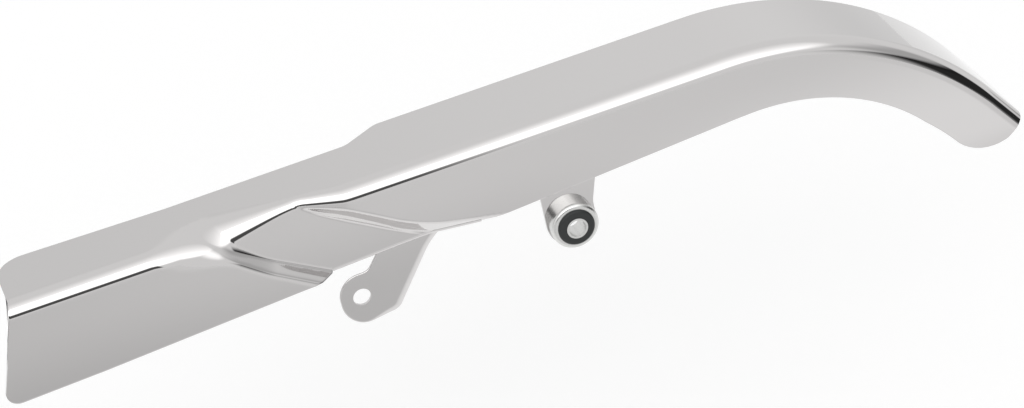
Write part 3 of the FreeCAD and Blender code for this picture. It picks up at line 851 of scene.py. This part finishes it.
def floor_material():
    material, tree, shader = principled("pale_floor")
    shader.inputs["Base Color"].default_value = (0.8, 0.8, 0.8, 1)
    shader.inputs["Roughness"].default_value = 0.9
    shader.inputs["Specular IOR Level"].default_value = 0
    shader.inputs["Emission Color"].default_value = (1, 1, 1, 1)
    place = parts_of(tree, tree.nodes.new("ShaderNodeNewGeometry").outputs["Position"])

    def band(axis, stretch, first=0.0, last=1.0):
        return mapped(tree, place[axis], *stretch, first, last)

    def both(first, second):
        return combine(tree, "MULTIPLY", first, second)

    def total(first, second):
        return combine(tree, "ADD", first, second)

    under = both(band("Y", UNDER_FRONT, 0.0, UNDER_GLOW), band("Y", UNDER_BACK, 1.0, 0.0))
    far = both(band("Y", FAR_FRONT), band("Y", HORIZON, FAR_GLOW, HORIZON_SHADE))
    in_front = band("Y", NEAR_BACK, 1.0, 0.0)
    near = both(band("Y", NEAR_FRONT), band("X", NEAR_ACROSS, NEAR_LEFT_SHADE, NEAR_RIGHT_GLOW))
    near = both(near, in_front)
    left = both(in_front, band("X", LEFT_ACROSS, LEFT_SHADE, LEFT_END_SHADE))
    zones = total(total(under, far), total(near, left))

    rays = ray_kinds(tree)
    lift = both(background_rays(tree), FLOOR_LIFT)
    lift = total(lift, both(zones, rays["Is Glossy Ray"]))
    lift = total(lift, both(rays["Is Camera Ray"], WHITE_LIFT))
    link(tree, lift, shader.inputs["Emission Strength"])
    return material


floor.data.materials.append(floor_material())

# World: a white studio with a soft box on the camera's side and a dark doorway right of it
STUDIO_LEVEL = 1.02
PLAIN_LEVEL = 0.74

# Soft box: the degrees over which each side fades
BOX_LEVEL = 1.1
BOX_LEFT = (-75.0, -35.0)
BOX_RIGHT = (26.0, 100.0)
BOX_BOTTOM = (10.0, 19.0)
BOX_TOP = (36.0, 88.0)
BOX_TOP_POWER = 1.35
BOX_CLIMB = 0.5
BOX_CLIMB_START = 10.0


def studio():
    world = bpy.data.worlds.new("studio")
    bpy.context.scene.world = world
    world.use_nodes = True
    tree = world.node_tree
    background = tree.nodes["Background"]
    heading = parts_of(tree, tree.nodes.new("ShaderNodeTexCoord").outputs["Generated"])

    def math_node(operation, first, second=0.0):
        return combine(tree, operation, first, second)

    def rising(value, stretch, kind="SMOOTHSTEP"):
        return mapped(tree, value, *stretch, kind=kind)

    def falling(value, stretch, kind="SMOOTHSTEP"):
        return math_node("SUBTRACT", 1.0, rising(value, stretch, kind))

    def product(*values):
        result = values[0]
        for value in values[1:]:
            result = math_node("MULTIPLY", result, value)
        return result

    # Directions in degrees: turn from the front towards the rear wheel, and rise
    front = math_node("MULTIPLY", heading["Y"], -1.0)
    turn = math_node("MULTIPLY", math_node("ARCTAN2", heading["X"], front), math.degrees(1))
    rise = math_node("MULTIPLY", math_node("ARCSINE", heading["Z"]), math.degrees(1))

    # The box's lower edge climbs to the right, and its top fades towards the zenith
    right_of = math_node("MAXIMUM", math_node("SUBTRACT", turn, BOX_CLIMB_START), 0.0)
    climb = math_node("MULTIPLY", right_of, BOX_CLIMB)
    bottom = rising(math_node("SUBTRACT", rise, climb), BOX_BOTTOM)
    top = math_node("POWER", falling(rise, BOX_TOP, "LINEAR"), BOX_TOP_POWER)
    sides = product(falling(turn, BOX_RIGHT, "LINEAR"), rising(turn, BOX_LEFT))
    box = product(bottom, top, sides, BOX_LEVEL)

    def patch(dark, left, right=None, bottom=None, top=None):
        """A dark patch; each side is the pair of degrees over which it fades."""
        sides = [rising(turn, left)]
        if right:
            sides.append(falling(turn, right))
        if bottom:
            sides.append(rising(rise, bottom))
        sides.append(falling(rise, top))
        return product(*sides, dark)

    # Black doorway with a grey wall above, a dark line under the box and faint shades behind
    door = patch(0.97, left=(24.0, 50.0), right=(87.0, 93.0), bottom=(-15.0, -5.0), top=(10.0, 17.0))
    sill = patch(0.93, left=(80.0, 90.0), right=(108.0, 116.0), bottom=(-14.0, -11.0), top=(-6.0, -1.0))
    wall = patch(0.43, left=(38.0, 58.0), right=(82.0, 99.0), bottom=(5.0, 12.0), top=(23.0, 40.0))
    line = patch(0.9, left=(-60.0, -30.0), right=(9.0, 11.5), bottom=(-2.0, 1.0), top=(14.0, 19.0))
    behind = patch(0.1, left=(161.0, 179.0), top=(40.0, 65.0))
    beyond = patch(0.15, left=(110.0, 135.0), top=(0.0, 22.0))
    level = math_node("ADD", box, STUDIO_LEVEL)
    for shade in (door, sill, wall, line, behind, beyond):
        level = product(level, math_node("SUBTRACT", 1.0, shade))

    # Dull surfaces are lit at a plain level, and the camera sees plain white
    plain = mapped(tree, background_rays(tree), first=PLAIN_LEVEL, kind="LINEAR")
    to_camera = ray_kinds(tree)["Is Camera Ray"]
    strength = product(level, plain, math_node("SUBTRACT", 1.0, to_camera))
    strength = math_node("ADD", strength, to_camera)
    link(tree, strength, background.inputs["Strength"])
    background.inputs["Color"].default_value = (1, 1, 1, 1)


studio()

# Soft lamp above the camera's side
lamp_data = bpy.data.lights.new("key", "AREA")
lamp_data.shape = "RECTANGLE"
lamp_data.size = 1.6
lamp_data.size_y = 0.8
lamp_data.energy = 3
lamp = bpy.data.objects.new("key", lamp_data)
bpy.context.collection.objects.link(lamp)
lamp.location = (-0.3, -1.6, 1.6)
lamp.rotation_mode = "QUATERNION"
lamp.rotation_quaternion = (-lamp.location).to_track_quat("-Z", "Y")

# Camera, fitted to the photograph
AZIMUTH = math.radians(-12.3)
ELEVATION = math.radians(30.9)
ROLL = math.radians(-12.9)
DISTANCE = 1.803
FOCAL_PIXELS = 3200
IMAGE_WIDTH = 1024
SENSOR = 36
AIM = at(286.2, 28, -59.9)
back = Vector((
    math.sin(AZIMUTH) * math.cos(ELEVATION),
    -math.cos(AZIMUTH) * math.cos(ELEVATION),
    math.sin(ELEVATION),
))
level_right = Vector((0, 0, 1)).cross(back).normalized()
level_up = back.cross(level_right)
right = math.cos(ROLL) * level_right + math.sin(ROLL) * level_up
up = -math.sin(ROLL) * level_right + math.cos(ROLL) * level_up
camera_data = bpy.data.cameras.new("camera")
camera_data.sensor_width = SENSOR
camera_data.lens = SENSOR * FOCAL_PIXELS / IMAGE_WIDTH
camera = bpy.data.objects.new("camera", camera_data)
bpy.context.collection.objects.link(camera)
facing = Matrix((right, up, back)).transposed().to_4x4()
camera.matrix_world = Matrix.Translation(AIM + back * DISTANCE) @ facing
bpy.context.scene.camera = camera

bpy.context.scene.view_settings.view_transform = "Standard"
